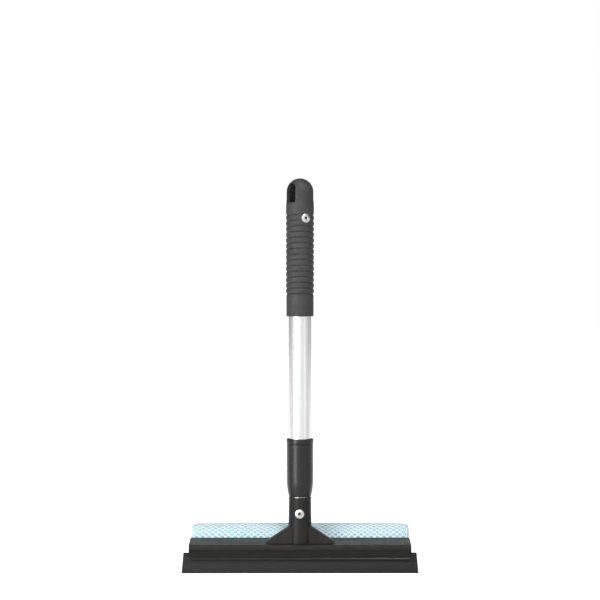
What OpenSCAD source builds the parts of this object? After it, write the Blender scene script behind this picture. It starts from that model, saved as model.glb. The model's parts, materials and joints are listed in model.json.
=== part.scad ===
// Telescopic window squeegee: a ribbed grip on an aluminium tube, a twist lock inside,
// and a head with a rubber blade in front and a net-covered sponge behind.
// Heights are counted from the blade's wiping edge, and the whole model is then lowered
// so that its origin is the middle of the hanging slot, on the axis of the pole.
// +X is along the blade, -Y is the blade's side, +Y the sponge's side, +Z up the pole.

/* [Pole] */
// Outside diameter of the outer tube
outer_tube_d = 19; // [18:0.5:20]
// Outside diameter of the inner tube
inner_tube_d = 16; // [15:0.5:16.5]
// Wall of both tubes
tube_wall = 1; // [0.8:0.1:1.2]
// Height of the top of the inner tube when the pole is closed
inner_tube_top = 252; // [230:1:262]

/* [Grip] */
// Height of the lower end of the grip
grip_bottom = 217.1; // [200:0.5:225]
// Height of the top of the grip, over the dome
grip_top = 335.2; // [333:0.1:337]
// Diameter over the ribs
grip_d = 23.8; // [23:0.1:25]
// Diameter of the dome and of the part with the slot
dome_d = 22.9; // [22:0.1:23.4]
// Diameter of the smooth lower end
grip_end_d = 23.2; // [22.6:0.1:23.8]
// Number of grooves
groove_count = 15; // [3:1:15]
// Distance from one groove to the next
groove_pitch = 4.82; // [4.4:0.02:4.9]
// Width of the hanging slot
slot_w = 10.4; // [8:0.2:11]
// Height of the hanging slot
slot_h = 16.4; // [12:0.2:17]
// Direction the hanging slot faces, from the front towards the right
slot_turn = -48; // [-180:1:180]
// Direction of the rivet in the grip, from the front towards the right
grip_rivet_turn = 25; // [-60:1:60]

/* [Collar] */
// Height of the lower end of the collar
collar_bottom = 63.2; // [63:0.1:66]
// Height of the top of the collar
collar_top = 112.5; // [105:0.5:120]
// Diameter of the collar's body
collar_d = 22.5; // [22.2:0.1:24]
// Diameter of the collar's rim
rim_d = 22.9; // [22.5:0.1:24.5]

/* [Head] */
// Length of the plastic head
head_w = 189; // [150:1:250]
// Length of the rubber at its upper edge
blade_w_top = 198; // [160:1:260]
// Length of the rubber at its wiping edge
blade_w_tip = 200.5; // [162:0.5:264]
// Tilt of the rubber towards the front
blade_tilt = 21; // [18:1:23]
// Thickness of the rubber at its root
blade_root_t = 2.6; // [2.2:0.1:2.8]
// Thickness of the rubber at its wiping edge
blade_tip_t = 2; // [1.4:0.1:2.4]
// Half the width of the two gussets beside the neck
gusset_reach = 29.5; // [20:0.5:40]
// Height of the neck's top
neck_top = 62.7; // [60:0.1:62.8]

/* [Sponge] */
// Length of the sponge with its net
sponge_w = 188.5; // [140:0.5:250]
// Depth of the sponge with its net
sponge_d = 36; // [28:0.5:45]
// Height of the lower side of the sponge
sponge_bottom = 1.5; // [1:0.5:4]
// Height of the crest of the sponge
sponge_top = 37; // [34:0.5:42]
// Thickness of the net
net_t = 0.5; // [0.4:0.1:0.8]

/* [Twist lock] */
// Offset of the cam's journal from the axis of the pole
cam_offset = 0.3; // [0.2:0.05:0.35]
// Travel of the telescope, which the collision and motion model use
telescope_travel = 133; // [100:1:140]

/* [Hidden] */
$fn = 96;

outer_r = outer_tube_d / 2;
outer_bore_r = outer_r - tube_wall;
inner_r = inner_tube_d / 2;
inner_bore_r = inner_r - tube_wall;
fit_gap = 0.02;                              // between pieces pressed together
run_gap = 0.08;                              // between pieces that slide

outer_tube_top = 308;
outer_tube_bottom = 72;
inner_tube_bottom = 28;

grip_r = grip_d / 2;
dome_r = dome_d / 2;
dome_z = grip_top - dome_r;                  // centre of the dome
dome_wall = 2.8;
shoulder_z = 317.5;                          // where the dome's side meets the ribbed part
groove_low = 236.2;                          // lowest groove
groove_r = 0.75;
rib_r = 8;                                   // crown of each rib, seen in section
slot_low = 314.2;
slot_mid = slot_low + slot_h / 2;            // the model's origin
pad_half_angle = 24;                         // half of the plain pad around the grip's rivet
grip_rivet_z = 300.7;
grip_rivet_seat = 11.35;                     // distance of the rivet's seat from the axis

collar_curve = 14;                           // height over which the collar narrows
collar_end_r = 9.45;
rim_h = 4;

neck_r_top = 9.45;
neck_r_low = 10.1;
neck_rivet_z = 49.2;
neck_rivet_turn = -2;
neck_rivet_seat = 9.35;

rivet_r = 2;
rivet_head_r = 4;
rivet_hole_r = rivet_r + 0.05;
mandrel_r = 1.05;

// Section of the head, front to back and upwards
ridge = [-12.4, 23.2];                       // front edge of the roof
roof_back = [11, 26.1];                      // back edge of the roof
roof_t = 2.8;
flange_t = 2.6;
flange_low = 4.5;
jaw_low = 10.4;
jaw_inset = 0.9;                             // how much shorter the jaw is at each end
jaw_step_z = 16.2;
jaw_corner_r = 3;
rib_count = 6;
rib_t = 2;

blade_root = [-8.8, 16.4];                   // top of the rubber, at its middle
blade_bead_r = 1.9;
blade_gap = 0.1;
blade_len = 19;                              // longer than needed, then cut level at z = 0

plate_w = 176;
plate_t = 2;
plate_z = [9.8, 22.2];
peg_r = 2.3;
peg_z = 14;
peg_count = 5;
peg_step = 36;
barb_r = 3;

sponge_top_r = 14;
sponge_low_r = 8;

spigot_len = 14;
journal_r = 4.9;
journal_len = 14;
shoulder_len = 2.5;
end_flange_len = 3;
ring_clear = 0.6;                            // room between the journal and the ring's bore
ring_split = 2.2;

function groove_z(i) = groove_low + i * groove_pitch;

// Radius of the collar at a height: a parabola at the lower end, then straight
function collar_r(z) =
    z >= collar_bottom + collar_curve ? collar_d / 2 :
    let (t = 1 - (z - collar_bottom) / collar_curve)
    collar_end_r + (collar_d / 2 - collar_end_r) * (1 - t * t);

// A ring-shaped or round bar: outside radius, bore, from one height to another
module ring_bar(r, bore, z0, z1) {
    difference() {
        translate([0, 0, z0]) cylinder(r = r, h = z1 - z0);
        if (bore > 0) translate([0, 0, z0 - 1]) cylinder(r = bore, h = z1 - z0 + 2);
    }
}

// Turns children that lie along +Z so that they point out of the pole at a height
module outward(turn, z) {
    translate([0, 0, z]) rotate([0, 0, turn]) rotate([90, 0, 0]) children();
}

// Extrudes a front-to-back section along the length of the head, centred
module along_head(len) {
    rotate([90, 0, 90]) linear_extrude(height = len, center = true) children();
}

// ---------------------------------------------------------------- the grip

// Half section of the outside of the grip, with its crowned ribs
module grip_outline() {
    rib_low = groove_z(0) - 0.2;
    rib_high = groove_z(groove_count - 3);
    square_r = grip_r - 0.4;
    polygon([[0, grip_bottom], [grip_end_d / 2 - 0.7, grip_bottom],
             [grip_end_d / 2 - 0.15, grip_bottom + 0.5], [grip_end_d / 2, grip_bottom + 1.6],
             [grip_end_d / 2, rib_low], [square_r, rib_low], [square_r, rib_high],
             [grip_r, rib_high], [grip_r, shoulder_z - 6], [grip_r - 0.07, shoulder_z - 3.6],
             [grip_r - 0.2, shoulder_z - 1.6], [dome_r + 0.1, shoulder_z - 0.4],
             [dome_r, shoulder_z + 0.6], [dome_r, dome_z], [0, dome_z]]);
    // the dome
    intersection() {
        translate([0, dome_z]) circle(r = dome_r);
        translate([0, dome_z - 1]) square([dome_r + 1, dome_r + 2]);
    }
    // one crowned rib between each pair of grooves
    for (i = [0 : groove_count - 4])
        intersection() {
            translate([grip_r - rib_r, groove_z(i) + groove_pitch / 2]) circle(r = rib_r);
            translate([grip_r - 2, groove_z(i)]) square([3, groove_pitch]);
        }
}

module grip() {
    color([0.30, 0.30, 0.31])
    difference() {
        rotate_extrude() difference() {
            grip_outline();
            for (i = [0 : groove_count - 3])
                translate([grip_r + 0.15, groove_z(i)]) circle(r = groove_r);
        }
        // the two upper grooves stop at the pad around the rivet
        for (i = [groove_count - 2, groove_count - 1])
            rotate([0, 0, grip_rivet_turn - 90 + pad_half_angle])
                rotate_extrude(angle = 360 - 2 * pad_half_angle)
                    translate([grip_r + 0.15, groove_z(i)]) circle(r = groove_r);
        // bore for the tube, and the hollow above it
        translate([0, 0, grip_bottom - 1])
            cylinder(r = outer_r + fit_gap, h = outer_tube_top - grip_bottom + 1);
        translate([0, 0, outer_tube_top - 1])
            cylinder(r = dome_r - dome_wall, h = dome_z - outer_tube_top + 1);
        translate([0, 0, dome_z]) sphere(r = dome_r - dome_wall);
        // hanging slot, right through, with an arched top
        outward(slot_turn, 0)
            linear_extrude(height = 40, center = true) {
                translate([-slot_w / 2, slot_low]) square([slot_w, slot_h - slot_w / 2]);
                translate([0, slot_low + slot_h - slot_w / 2]) circle(r = slot_w / 2);
            }
        // flat seat and hole for the rivet
        outward(grip_rivet_turn, grip_rivet_z) {
            translate([0, 0, grip_rivet_seat]) cylinder(r = rivet_head_r + 0.5, h = 5);
            cylinder(r = rivet_hole_r, h = 20);
        }
    }
}

// ---------------------------------------------------------------- blind rivets

// A set blind rivet: domed head on its seat, hollow shank, bulb behind the wall
module blind_rivet(seat, wall_r) {
    color([0.88, 0.88, 0.90])
    difference() {
        union() {
            intersection() {
                translate([0, 0, seat]) cylinder(r = rivet_head_r, h = 1.2);
                translate([0, 0, seat + 1.2 - 9]) sphere(r = 9);
            }
            translate([0, 0, wall_r - 3]) cylinder(r = rivet_r, h = seat - wall_r + 3.2);
            translate([0, 0, wall_r - 1.1]) cylinder(r1 = 2.7, r2 = rivet_r, h = 0.6);
            translate([0, 0, wall_r - 2.4]) cylinder(r = 2.7, h = 1.3);
        }
        translate([0, 0, wall_r - 4]) cylinder(r = mandrel_r + 0.1, h = seat);
    }
}

// What stays of the pulled mandrel: a broken stem and its head behind the shank
module rivet_mandrel(seat, wall_r) {
    color([0.45, 0.45, 0.47])
    union() {
        translate([0, 0, wall_r - 3.8]) cylinder(r = mandrel_r, h = seat - wall_r + 3.9);
        translate([0, 0, wall_r - 4.2]) cylinder(r1 = 1.2, r2 = 1.9, h = 0.6);
        translate([0, 0, wall_r - 3.6]) cylinder(r = 1.9, h = 0.6);
    }
}

module grip_rivet() {
    outward(grip_rivet_turn, grip_rivet_z) blind_rivet(grip_rivet_seat, outer_bore_r);
}

module grip_rivet_mandrel() {
    outward(grip_rivet_turn, grip_rivet_z) rivet_mandrel(grip_rivet_seat, outer_bore_r);
}

module neck_rivet() {
    outward(neck_rivet_turn, neck_rivet_z) blind_rivet(neck_rivet_seat, inner_bore_r);
}

module neck_rivet_mandrel() {
    outward(neck_rivet_turn, neck_rivet_z) rivet_mandrel(neck_rivet_seat, inner_bore_r);
}

// ---------------------------------------------------------------- tubes and collar

module outer_tube() {
    color([0.93, 0.93, 0.94])
    difference() {
        ring_bar(outer_r, outer_bore_r, outer_tube_bottom, outer_tube_top);
        outward(grip_rivet_turn, grip_rivet_z) cylinder(r = rivet_hole_r, h = 20);
    }
}

module collar() {
    curve_steps = 10;
    groove_h = 0.5;
    color([0.20, 0.20, 0.20])
    difference() {
        rotate_extrude() polygon(concat(
            [[0, collar_bottom]],
            [for (i = [0 : curve_steps])
                let (z = collar_bottom + collar_curve * i / curve_steps) [collar_r(z), z]],
            [[collar_d / 2, collar_top - rim_h - groove_h],
             [collar_d / 2 - 0.3, collar_top - rim_h - groove_h],
             [collar_d / 2 - 0.3, collar_top - rim_h], [rim_d / 2, collar_top - rim_h],
             [rim_d / 2, collar_top - 0.5], [rim_d / 2 - 0.5, collar_top], [0, collar_top]]));
        translate([0, 0, outer_tube_bottom]) cylinder(r = outer_r + fit_gap, h = 60);
        translate([0, 0, 66]) cylinder(r = 8.9 + fit_gap, h = 10);
        translate([0, 0, collar_bottom - 1]) cylinder(r = inner_r + 0.4, h = 10);
    }
}

// Low-friction ring between the collar's end and the inner tube, which also stops the cam
module guide_bush() {
    color([0.85, 0.85, 0.82])
    ring_bar(8.9, inner_r + run_gap, 66, outer_tube_bottom);
}

module inner_tube() {
    color([0.93, 0.93, 0.94])
    difference() {
        ring_bar(inner_r, inner_bore_r, inner_tube_bottom, inner_tube_top);
        outward(neck_rivet_turn, neck_rivet_z) cylinder(r = rivet_hole_r, h = 20);
    }
}

// ---------------------------------------------------------------- twist lock

// Plug in the top of the inner tube, with the journal set off the axis
module lock_plug() {
    journal_z = inner_tube_top + shoulder_len;
    color([0.15, 0.15, 0.16])
    difference() {
        union() {
            ring_bar(inner_bore_r - fit_gap, 0, inner_tube_top - spigot_len, inner_tube_top);
            ring_bar(inner_r - 0.2, 0, inner_tube_top, journal_z);
            translate([0, cam_offset, 0])
                ring_bar(journal_r, 0, journal_z, journal_z + journal_len);
            ring_bar(outer_bore_r - 1.1, 0, journal_z + journal_len,
                     journal_z + journal_len + end_flange_len);
        }
        translate([0, 0, inner_tube_top - spigot_len - 1]) cylinder(r = 2.5, h = 60);
    }
}

// Split ring that the journal pushes against the outer tube's wall
module cam_ring() {
    ring_z = inner_tube_top + shoulder_len + 0.5;
    color([0.82, 0.80, 0.74])
    difference() {
        ring_bar(outer_bore_r - run_gap, 0, ring_z, ring_z + journal_len - 1);
        translate([0, cam_offset, ring_z - 1]) cylinder(r = journal_r + ring_clear, h = 20);
        translate([0, -ring_split / 2, ring_z - 1]) cube([20, ring_split, 20]);
    }
}

// ---------------------------------------------------------------- head

// Section of the rubber: a bead that the jaw holds, and a strip that thins to the edge,
// with fine ridges on its front. grow widens it to make the jaw's channel.
module blade_section(grow) {
    translate([0, -blade_bead_r]) circle(r = blade_bead_r + grow);
    polygon([[-blade_root_t / 2 - grow, -1.5], [-blade_tip_t / 2 - grow, -blade_len],
             [blade_tip_t / 2 + grow, -blade_len], [blade_root_t / 2 + grow, -1.5]]);
}

module blade_place() {
    translate([0, blade_root[0], blade_root[1]]) rotate([-blade_tilt, 0, 0]) children();
}

module blade() {
    ridge_pitch = 1.5;
    color([0.13, 0.13, 0.13])
    intersection() {
        difference() {
            blade_place() along_head(blade_w_tip + 10) blade_section(0);
            // three shallow furrows along the front face
            for (i = [0 : 2])
                blade_place() translate([0, -blade_root_t / 2 - 0.12, -9 - i * ridge_pitch])
                    rotate([0, 90, 0]) cylinder(r = 0.32, h = 300, center = true);
        }
        // the ends flare a little towards the wiping edge, which is cut level
        rotate([90, 0, 0]) linear_extrude(height = 60, center = true)
            polygon([[-blade_w_tip / 2, 0], [blade_w_tip / 2, 0],
                     [blade_w_top / 2, blade_root[1] + 1], [-blade_w_top / 2, blade_root[1] + 1]]);
    }
}

// Section of the moulding: roof, front wall with its lip, rear jaw and sponge flange
module head_section() {
    polygon([[ridge[0] + 0.5, ridge[1] + 0.06], ridge - [0.06, 0.45], [-13.1, 19.3],
             [-12.6, 18.7], [-12.2, 13.2], [-12.5, jaw_low], [-11.9, jaw_low],
             [-8.6, 9.2], [-6.8, 9.6], [-6.2, 10.4], [-6.2, 24 - roof_t],
             [roof_back[0] - flange_t, roof_back[1] - roof_t - 0.3],
             [roof_back[0] - flange_t, flange_low], [roof_back[0], flange_low],
             roof_back - [0, 0.4], roof_back - [0.4, 0.05]]);
    translate([-12.9, 11.65]) circle(r = 1.1);
}

// The jaw is a little shorter than the roof, with round lower corners
module jaw_trim() {
    half = head_w / 2 - jaw_inset;
    for (side = [0, 1]) mirror([side, 0, 0])
        translate([0, -6.4, 0]) rotate([90, 0, 0]) linear_extrude(height = 12) {
            translate([half, 5]) square([5, jaw_step_z - 5]);
            difference() {
                translate([half - jaw_corner_r, 5]) square([jaw_corner_r + 1, jaw_low - 5 + jaw_corner_r]);
                translate([half - jaw_corner_r, jaw_low + jaw_corner_r]) circle(r = jaw_corner_r);
            }
        }
}

module head_frame() {
    roof_mid = 24.6;
    rib_step = (head_w - 30) / (rib_count - 1);
    color([0.22, 0.22, 0.21])
    difference() {
        union() {
            difference() {
                along_head(head_w) head_section();
                jaw_trim();
            }
            // webs across the hollow under the roof
            for (i = [0 : rib_count - 1])
                translate([-head_w / 2 + 15 + i * rib_step - rib_t / 2, -6.5, 14])
                    cube([rib_t, 15.2, 8]);
            // neck, and a gusset on each side of it
            translate([0, 0, roof_mid - 1.6])
                cylinder(r1 = neck_r_low, r2 = neck_r_top, h = neck_top - roof_mid + 1.6);
            for (side = [0, 1]) mirror([side, 0, 0])
                translate([0, 3.4, 0]) rotate([90, 0, 0]) linear_extrude(height = 10)
                    polygon([[5, 23], [gusset_reach, 23], [gusset_reach, 24.7],
                             [9.4, 37.8], [5, 37.8]]);
        }
        blade_place() along_head(head_w + 10) blade_section(blade_gap);
        translate([0, 0, inner_tube_bottom]) cylinder(r = inner_r + fit_gap, h = 60);
        outward(neck_rivet_turn, neck_rivet_z) {
            translate([0, 0, neck_rivet_seat]) cylinder(r = rivet_head_r + 0.1, h = 5);
            cylinder(r = rivet_hole_r, h = 20);
        }
        for (i = [0 : peg_count - 1])
            translate([(i - (peg_count - 1) / 2) * peg_step, 0, peg_z]) rotate([-90, 0, 0])
                translate([0, 0, 5]) cylinder(r = peg_r + 0.15, h = 10);
    }
}

// ---------------------------------------------------------------- sponge, net, plate

// Outline of the padded block, front to back and upwards, drawn in by a margin
module block_section(margin) {
    y0 = roof_back[0] + margin;
    y1 = roof_back[0] + sponge_d - margin;
    z0 = sponge_bottom + margin;
    z1 = sponge_top - margin;
    top_r = sponge_top_r - margin;
    low_r = sponge_low_r - margin;
    for (y = [y0 + top_r, y1 - top_r]) translate([y, z1 - top_r]) circle(r = top_r);
    for (y = [y0 + low_r, y1 - low_r]) translate([y, z0 + low_r]) circle(r = low_r);
    translate([y0 + top_r, z0 + 1]) square([y1 - y0 - 2 * top_r, z1 - z0 - 1]);
    translate([y0 + low_r, z0]) square([y1 - y0 - 2 * low_r, z1 - z0 - top_r]);
    translate([y0, z0 + low_r]) square([y1 - y0, z1 - z0 - low_r - top_r]);
}

module net_cover() {
    color([0.95, 0.97, 0.98])
    difference() {
        along_head(sponge_w) block_section(0);
        along_head(sponge_w - 2 * net_t) block_section(net_t);
        for (i = [0 : peg_count - 1])
            translate([(i - (peg_count - 1) / 2) * peg_step, 0, peg_z]) rotate([-90, 0, 0])
                translate([0, 0, 5]) cylinder(r = peg_r + 0.15, h = 10);
    }
}

module sponge() {
    color([0.62, 0.83, 0.90])
    difference() {
        along_head(sponge_w - 2 * net_t) block_section(net_t);
        translate([-plate_w / 2, 0, plate_z[0]])
            cube([plate_w, roof_back[0] + net_t + plate_t, plate_z[1] - plate_z[0]]);
    }
}

// Backing plate glued to the sponge, with barbed pegs that snap into the flange
module sponge_plate() {
    plate_y = roof_back[0] + net_t;
    flange_front = roof_back[0] - flange_t;
    color([0.25, 0.25, 0.25])
    union() {
        translate([-plate_w / 2, plate_y, plate_z[0]])
            cube([plate_w, plate_t, plate_z[1] - plate_z[0]]);
        for (i = [0 : peg_count - 1])
            translate([(i - (peg_count - 1) / 2) * peg_step, 0, peg_z]) rotate([-90, 0, 0]) {
                translate([0, 0, flange_front - 1]) cylinder(r = peg_r, h = plate_y - flange_front + 1.5);
                translate([0, 0, flange_front - 2.4]) cylinder(r1 = 1.4, r2 = barb_r, h = 2);
            }
    }
}

// ---------------------------------------------------------------- assembly

translate([0, 0, -slot_mid]) {
    grip();
    grip_rivet();
    grip_rivet_mandrel();
    outer_tube();
    collar();
    guide_bush();
    cam_ring();
    lock_plug();
    inner_tube();
    head_frame();
    neck_rivet();
    neck_rivet_mandrel();
    blade();
    sponge();
    net_cover();
    sponge_plate();
}
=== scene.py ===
"""A telescopic window squeegee: ribbed grip, aluminium pole, black head, rubber blade and netted sponge."""

import json
import math
from bisect import bisect_right

import bpy
from mathutils import Matrix, Vector
from mathutils.bvhtree import BVHTree
from mathutils.kdtree import KDTree


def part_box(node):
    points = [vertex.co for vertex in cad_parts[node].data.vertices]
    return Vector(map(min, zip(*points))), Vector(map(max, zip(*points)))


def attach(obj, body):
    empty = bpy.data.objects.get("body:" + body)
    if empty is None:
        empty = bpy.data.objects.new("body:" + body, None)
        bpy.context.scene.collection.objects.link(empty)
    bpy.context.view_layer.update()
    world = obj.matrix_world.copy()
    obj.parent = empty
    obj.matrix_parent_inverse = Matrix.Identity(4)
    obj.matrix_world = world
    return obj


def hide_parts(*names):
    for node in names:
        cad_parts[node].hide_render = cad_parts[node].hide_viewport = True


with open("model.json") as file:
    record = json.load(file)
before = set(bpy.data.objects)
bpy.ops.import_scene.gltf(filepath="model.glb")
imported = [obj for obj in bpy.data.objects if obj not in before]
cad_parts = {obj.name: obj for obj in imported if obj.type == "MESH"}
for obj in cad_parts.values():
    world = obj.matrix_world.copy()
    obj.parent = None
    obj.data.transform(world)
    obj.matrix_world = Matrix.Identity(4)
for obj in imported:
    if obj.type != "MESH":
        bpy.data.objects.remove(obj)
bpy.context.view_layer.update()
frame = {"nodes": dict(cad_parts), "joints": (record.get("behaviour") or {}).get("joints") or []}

bl_info = {
    "name": "Telescopic Window Squeegee",
    "version": (1, 0, 0),
    "blender": (4, 5, 0),
    "location": "View3D > Sidebar > Squeegee",
    "description": "Builds the visible pieces of a telescopic window squeegee around its frame",
    "category": "Object",
}

MM = 0.001
EDGE_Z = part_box("blade")[0].z  # the wiping edge, from which heights are counted
GRIP_LOW, GRIP_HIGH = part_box("grip")
COLLAR_LOW, COLLAR_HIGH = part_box("collar")
TUBE_LOW, TUBE_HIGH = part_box("outer_tube")
INNER_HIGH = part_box("inner_tube")[1]
NET_LOW, NET_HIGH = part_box("net_cover")


def up(height_mm):
    """The z of a height in millimetres above the wiping edge."""
    return EDGE_Z + height_mm * MM


def facing(turn):
    """Unit vector out of the pole at a turn from the front (-Y) towards the right (+X)."""
    return Vector((math.sin(turn), -math.cos(turn), 0))


PUSH_FIT = 0.02 * MM  # clearance of the grip and the collar on the outer tube
DOME_RADIUS = GRIP_HIGH.x - 0.45 * MM
DOME_Z = GRIP_HIGH.z - DOME_RADIUS
GROOVES = 15
FIRST_GROOVE = up(236.2)
SHOULDER_LOW = up(311.5)
SHOULDER_HEIGHT = 7 * MM
RIB_CROWN = 15 * MM  # radius of a rib's rounded crest
GROOVE_SPREAD = 0.5 * MM
RIVET_RADIUS = 3.9 * MM
GRIP_RIVET_Z, GRIP_RIVET_SEAT = up(300.7), 11.35 * MM
NECK_RIVET_Z, NECK_RIVET_SEAT = up(49.2), 9.35 * MM
PAD_TOP_ROUND, PAD_LOW_ROUND = 14 * MM, 8 * MM


# ------------------------------------------------------------------ sizes and colours


def length_property(name, description, default):
    return bpy.props.FloatProperty(name=name, description=description, default=default, unit="LENGTH")


def angle_property(name, description, degrees):
    return bpy.props.FloatProperty(
        name=name, description=description, default=math.radians(degrees), subtype="ANGLE"
    )


def colour_property(name, description, default):
    return bpy.props.FloatVectorProperty(
        name=name, description=description, subtype="COLOR", default=default, min=0, max=1
    )


class SqueegeeSizes(bpy.types.PropertyGroup):
    """Sizes of what the visible pieces add to the frame. Turns go from the front to the right."""

    slot_turn: angle_property("Slot turn", "Direction that the hanging slot faces", -48)
    slot_width: length_property("Slot width", "Width of the hanging slot", 10.4 * MM)
    slot_height: length_property("Slot height", "Height of the hanging slot", 16.4 * MM)
    grip_rivet_turn: angle_property("Grip rivet turn", "Direction that the grip's rivet faces", 25)
    neck_rivet_turn: angle_property("Neck rivet turn", "Direction that the neck's rivet faces", -2)
    groove_pitch: length_property("Groove pitch", "Distance between the grip's grooves", 4.82 * MM)
    groove_depth: length_property("Groove depth", "Depth of a groove under the ribs", 0.55 * MM)
    edge_round: length_property("Edge rounding", "Radius on the head's moulded edges", 0.4 * MM)
    mesh_width: length_property("Net mesh width", "Width of one diamond of the net", 5.5 * MM)
    mesh_height: length_property("Net mesh height", "Height of one diamond of the net", 5.0 * MM)
    yarn: length_property("Yarn", "Thickness of the net's yarn", 1.0 * MM)


class SqueegeeColours(bpy.types.PropertyGroup):
    """Base colours of the finishes, in linear light."""

    grip: colour_property("Grip", "Charcoal of the grip", (0.044, 0.044, 0.045))
    collar: colour_property("Collar", "Black of the collar", (0.004, 0.004, 0.004))
    head: colour_property("Head", "Black of the head moulding", (0.0115, 0.0106, 0.0099))
    rubber: colour_property("Rubber", "Black of the blade", (0.007, 0.007, 0.007))
    aluminium: colour_property("Aluminium", "Colour of the tubes", (0.95, 0.955, 0.96))
    foam: colour_property("Foam", "Light blue of the sponge", (0.37, 0.60, 0.70))
    net: colour_property("Net", "White of the net", (0.76, 0.85, 0.89))


# ------------------------------------------------------------------ modelling helpers


def deselect():
    if bpy.context.object and bpy.context.object.mode != "OBJECT":
        bpy.ops.object.mode_set(mode="OBJECT")
    bpy.ops.object.select_all(action="DESELECT")


def pick(piece):
    deselect()
    piece.select_set(True)
    bpy.context.view_layer.objects.active = piece


def draw_outline(name, points, close=True):
    """A thin outline drawn point by point with the extrude key, and filled if it is closed."""
    deselect()
    bpy.ops.mesh.primitive_plane_add(size=MM, location=points[0])
    piece = bpy.context.object
    piece.name = piece.data.name = name
    bpy.ops.object.mode_set(mode="EDIT")
    bpy.ops.mesh.select_mode(type="VERT")
    bpy.ops.mesh.merge(type="CENTER")
    for start, end in zip(points, points[1:]):
        step = Vector(end) - Vector(start)
        bpy.ops.mesh.extrude_region_move(TRANSFORM_OT_translate={"value": step})
    bpy.ops.mesh.select_all(action="SELECT")
    if close:
        bpy.ops.mesh.edge_face_add()
    return piece


def settle(piece, smooth_angle=math.radians(35)):
    """Leaves edit mode with the piece's place in its mesh and smooth shading between its edges."""
    pick(piece)
    bpy.ops.object.transform_apply(location=True, rotation=True, scale=True)
    bpy.ops.object.shade_smooth_by_angle(angle=smooth_angle)
    return piece


def face_outwards():
    bpy.ops.mesh.select_all(action="SELECT")
    bpy.ops.mesh.remove_doubles(threshold=0.002 * MM)
    bpy.ops.mesh.normals_make_consistent(inside=False)


def turn_profile(name, profile, steps):
    """A solid of revolution from a profile of (radius, height) points, both in metres, on +Z."""
    points = [Vector((radius, 0, height)) for radius, height in profile]
    piece = draw_outline(name, points, close=False)
    bpy.ops.mesh.spin(steps=steps, angle=math.tau, center=(0, 0, 0), axis=(0, 0, 1))
    face_outwards()
    return piece


def apply_modifier(piece, kind, **settings):
    pick(piece)
    modifier = piece.modifiers.new(kind.title(), kind)
    for key, value in settings.items():
        setattr(modifier, key, value)
    bpy.ops.object.modifier_apply(modifier=modifier.name)


def cut(piece, cutter):
    apply_modifier(piece, "BOOLEAN", operation="DIFFERENCE", object=cutter, solver="EXACT")
    bpy.data.objects.remove(cutter, do_unlink=True)


def select_vertices(piece, test):
    """Selects in edit mode the vertices that pass a test."""
    pick(piece)
    bpy.ops.object.mode_set(mode="EDIT")
    bpy.ops.mesh.select_mode(type="VERT")
    bpy.ops.mesh.select_all(action="DESELECT")
    bpy.ops.object.mode_set(mode="OBJECT")
    for vertex in piece.data.vertices:
        vertex.select = test(vertex)
    bpy.ops.object.mode_set(mode="EDIT")


def arc(centre, radius, start, end, steps):
    """Points of an arc in a plane, counted from start to end in degrees."""
    points = []
    for i in range(steps + 1):
        angle = math.radians(start + (end - start) * i / steps)
        points.append((centre[0] + radius * math.cos(angle), centre[1] + radius * math.sin(angle)))
    return points


def finish_piece(piece, body, material, slot, *nodes):
    """Gives a piece its finish in a material slot and its body, and hides the frame nodes it stands for. The
    slot argument is not used.
    """
    piece.data.materials.clear()
    piece.data.materials.append(material)
    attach(piece, body)
    if nodes:
        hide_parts(*nodes)
    return piece


# ------------------------------------------------------------------ finishes


def plain_finish(name, colour, roughness, metallic=0.0, specular=0.5):
    material = bpy.data.materials.new(name)
    material.use_nodes = True
    shader = material.node_tree.nodes["Principled BSDF"]
    shader.inputs["Base Color"].default_value = (*colour, 1)
    shader.inputs["Roughness"].default_value = roughness
    shader.inputs["Metallic"].default_value = metallic
    shader.inputs["Specular IOR Level"].default_value = specular
    return material, shader


def add_node(material, kind, inputs, **settings):
    """Adds a shader node. An input takes an output to link, or a value to hold."""
    tree = material.node_tree
    node = tree.nodes.new("ShaderNode" + kind)
    for key, value in settings.items():
        setattr(node, key, value)
    for key, value in inputs.items():
        if isinstance(value, bpy.types.NodeSocket):
            tree.links.new(value, node.inputs[key])
        else:
            node.inputs[key].default_value = value
    return node.outputs


def object_noise(material, scale, detail=3.0, roughness=0.55):
    """Noise on Object coordinates. scale is a number, or three for a stretched grain."""
    place = add_node(material, "TexCoord", {})["Object"]
    if isinstance(scale, tuple):
        place = add_node(material, "Mapping", {"Vector": place, "Scale": scale})["Vector"]
        scale = 1.0
    inputs = {"Vector": place, "Scale": scale, "Detail": detail, "Roughness": roughness}
    return add_node(material, "TexNoise", inputs)["Fac"]


def spread(material, value, low, high, near=0.3, far=0.7):
    """Maps a value between near and far onto the range from low to high."""
    inputs = {"Value": value, "From Min": near, "From Max": far, "To Min": low, "To Max": high}
    return add_node(material, "MapRange", inputs)["Result"]


def calculate(material, operation, first, second):
    return add_node(material, "Math", {0: first, 1: second}, operation=operation)["Value"]


def scaled(material, colour, level):
    """A colour multiplied by a level."""
    return add_node(material, "VectorMath", {0: colour, "Scale": level}, operation="SCALE")["Vector"]


def axes(material, coordinates="Object"):
    """Coordinates, with one output for each axis."""
    place = add_node(material, "TexCoord", {})[coordinates]
    return add_node(material, "SeparateXYZ", {"Vector": place})


def tint(material, value, colour, dark, light, near=0.3, far=0.7):
    """Colour that goes from a darker to a lighter shade as a value goes from near to far."""
    factor = spread(material, value, 0, 1, near, far)
    shades = [(*(min(1, c * share) for c in colour), 1) for share in (dark, light)]
    inputs = {"Factor": factor, "A": shades[0], "B": shades[1]}
    return add_node(material, "Mix", inputs, data_type="RGBA")["Result"]


def bump_chain(material, shader, *layers):
    """Stacks bumps: each layer is a value and its depth in metres."""
    below = {}
    for value, depth in layers:
        inputs = {"Height": value, "Distance": depth, "Strength": 1.0}
        below = {"Normal": add_node(material, "Bump", inputs | below)["Normal"]}
    material.node_tree.links.new(below["Normal"], shader.inputs["Normal"])


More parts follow.
